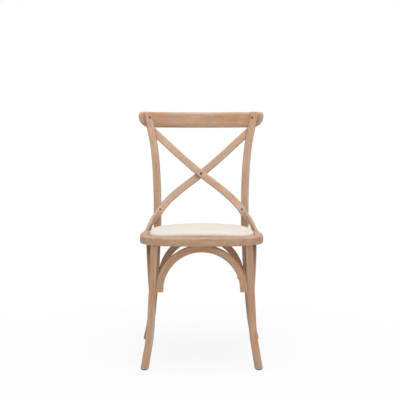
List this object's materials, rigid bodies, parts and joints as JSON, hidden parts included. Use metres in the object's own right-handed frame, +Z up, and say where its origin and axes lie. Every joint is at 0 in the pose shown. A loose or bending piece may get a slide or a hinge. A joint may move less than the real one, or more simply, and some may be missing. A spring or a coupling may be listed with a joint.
{
  "type": "dining chair",
  "caption": "Weathered oak dining chair with a bent crest rail, crossed back braces, bent arches under the seat and a linen drop-in seat pad.",
  "frame": {"origin": "on the floor, under the middle of the chair's box", "axes": "+Z up, -Y the way the chair faces, +X to the right of someone who faces its front"},
  "size_m": [0.482, 0.53, 0.887],
  "materials": {
    "oak": "weathered, limed matt finish",
    "beech_dowel": "plain turned",
    "plywood": "sanded, uncoated",
    "foam": "open-cell foam",
    "linen": "plain-woven off-white linen",
    "dust_cloth": "non-woven, matt",
    "bronzed_screws": "dark bronze coat",
    "zinc_steel": "zinc plated",
    "nylon": "dark brown, matt"
  },
  "bodies": {
    "root": {"back_post_left": "oak", "back_post_right": "oak", "front_leg_left": "oak", "front_leg_right": "oak", "crest_rail": "oak", "cross_brace_front": "oak", "cross_brace_rear": "oak", "seat_front_rail": "oak", "seat_back_rail": "oak", "seat_side_rail_left": "oak", "seat_side_rail_right": "oak", "front_arch": "oak", "rear_arch": "oak", "side_arch_left": "oak", "side_arch_right": "oak", "seat_board": "plywood", "seat_foam": "foam", "seat_cover": "linen", "seat_dust_cloth": "dust_cloth", "crest_screws": "bronzed_screws", "cross_screw": "bronzed_screws", "brace_post_screws": "bronzed_screws", "brace_head_screws": "bronzed_screws", "brace_foot_screws": "bronzed_screws", "arch_leg_screws": "bronzed_screws", "arch_seat_screws": "bronzed_screws", "seat_pad_screws": "bronzed_screws", "seat_frame_dowels": "beech_dowel", "post_bolts": "zinc_steel", "post_bolt_washers": "zinc_steel", "barrel_nuts": "zinc_steel", "cover_staples": "zinc_steel", "dust_cloth_staples": "zinc_steel", "foot_glides": "nylon"}
  },
  "joints": []
}
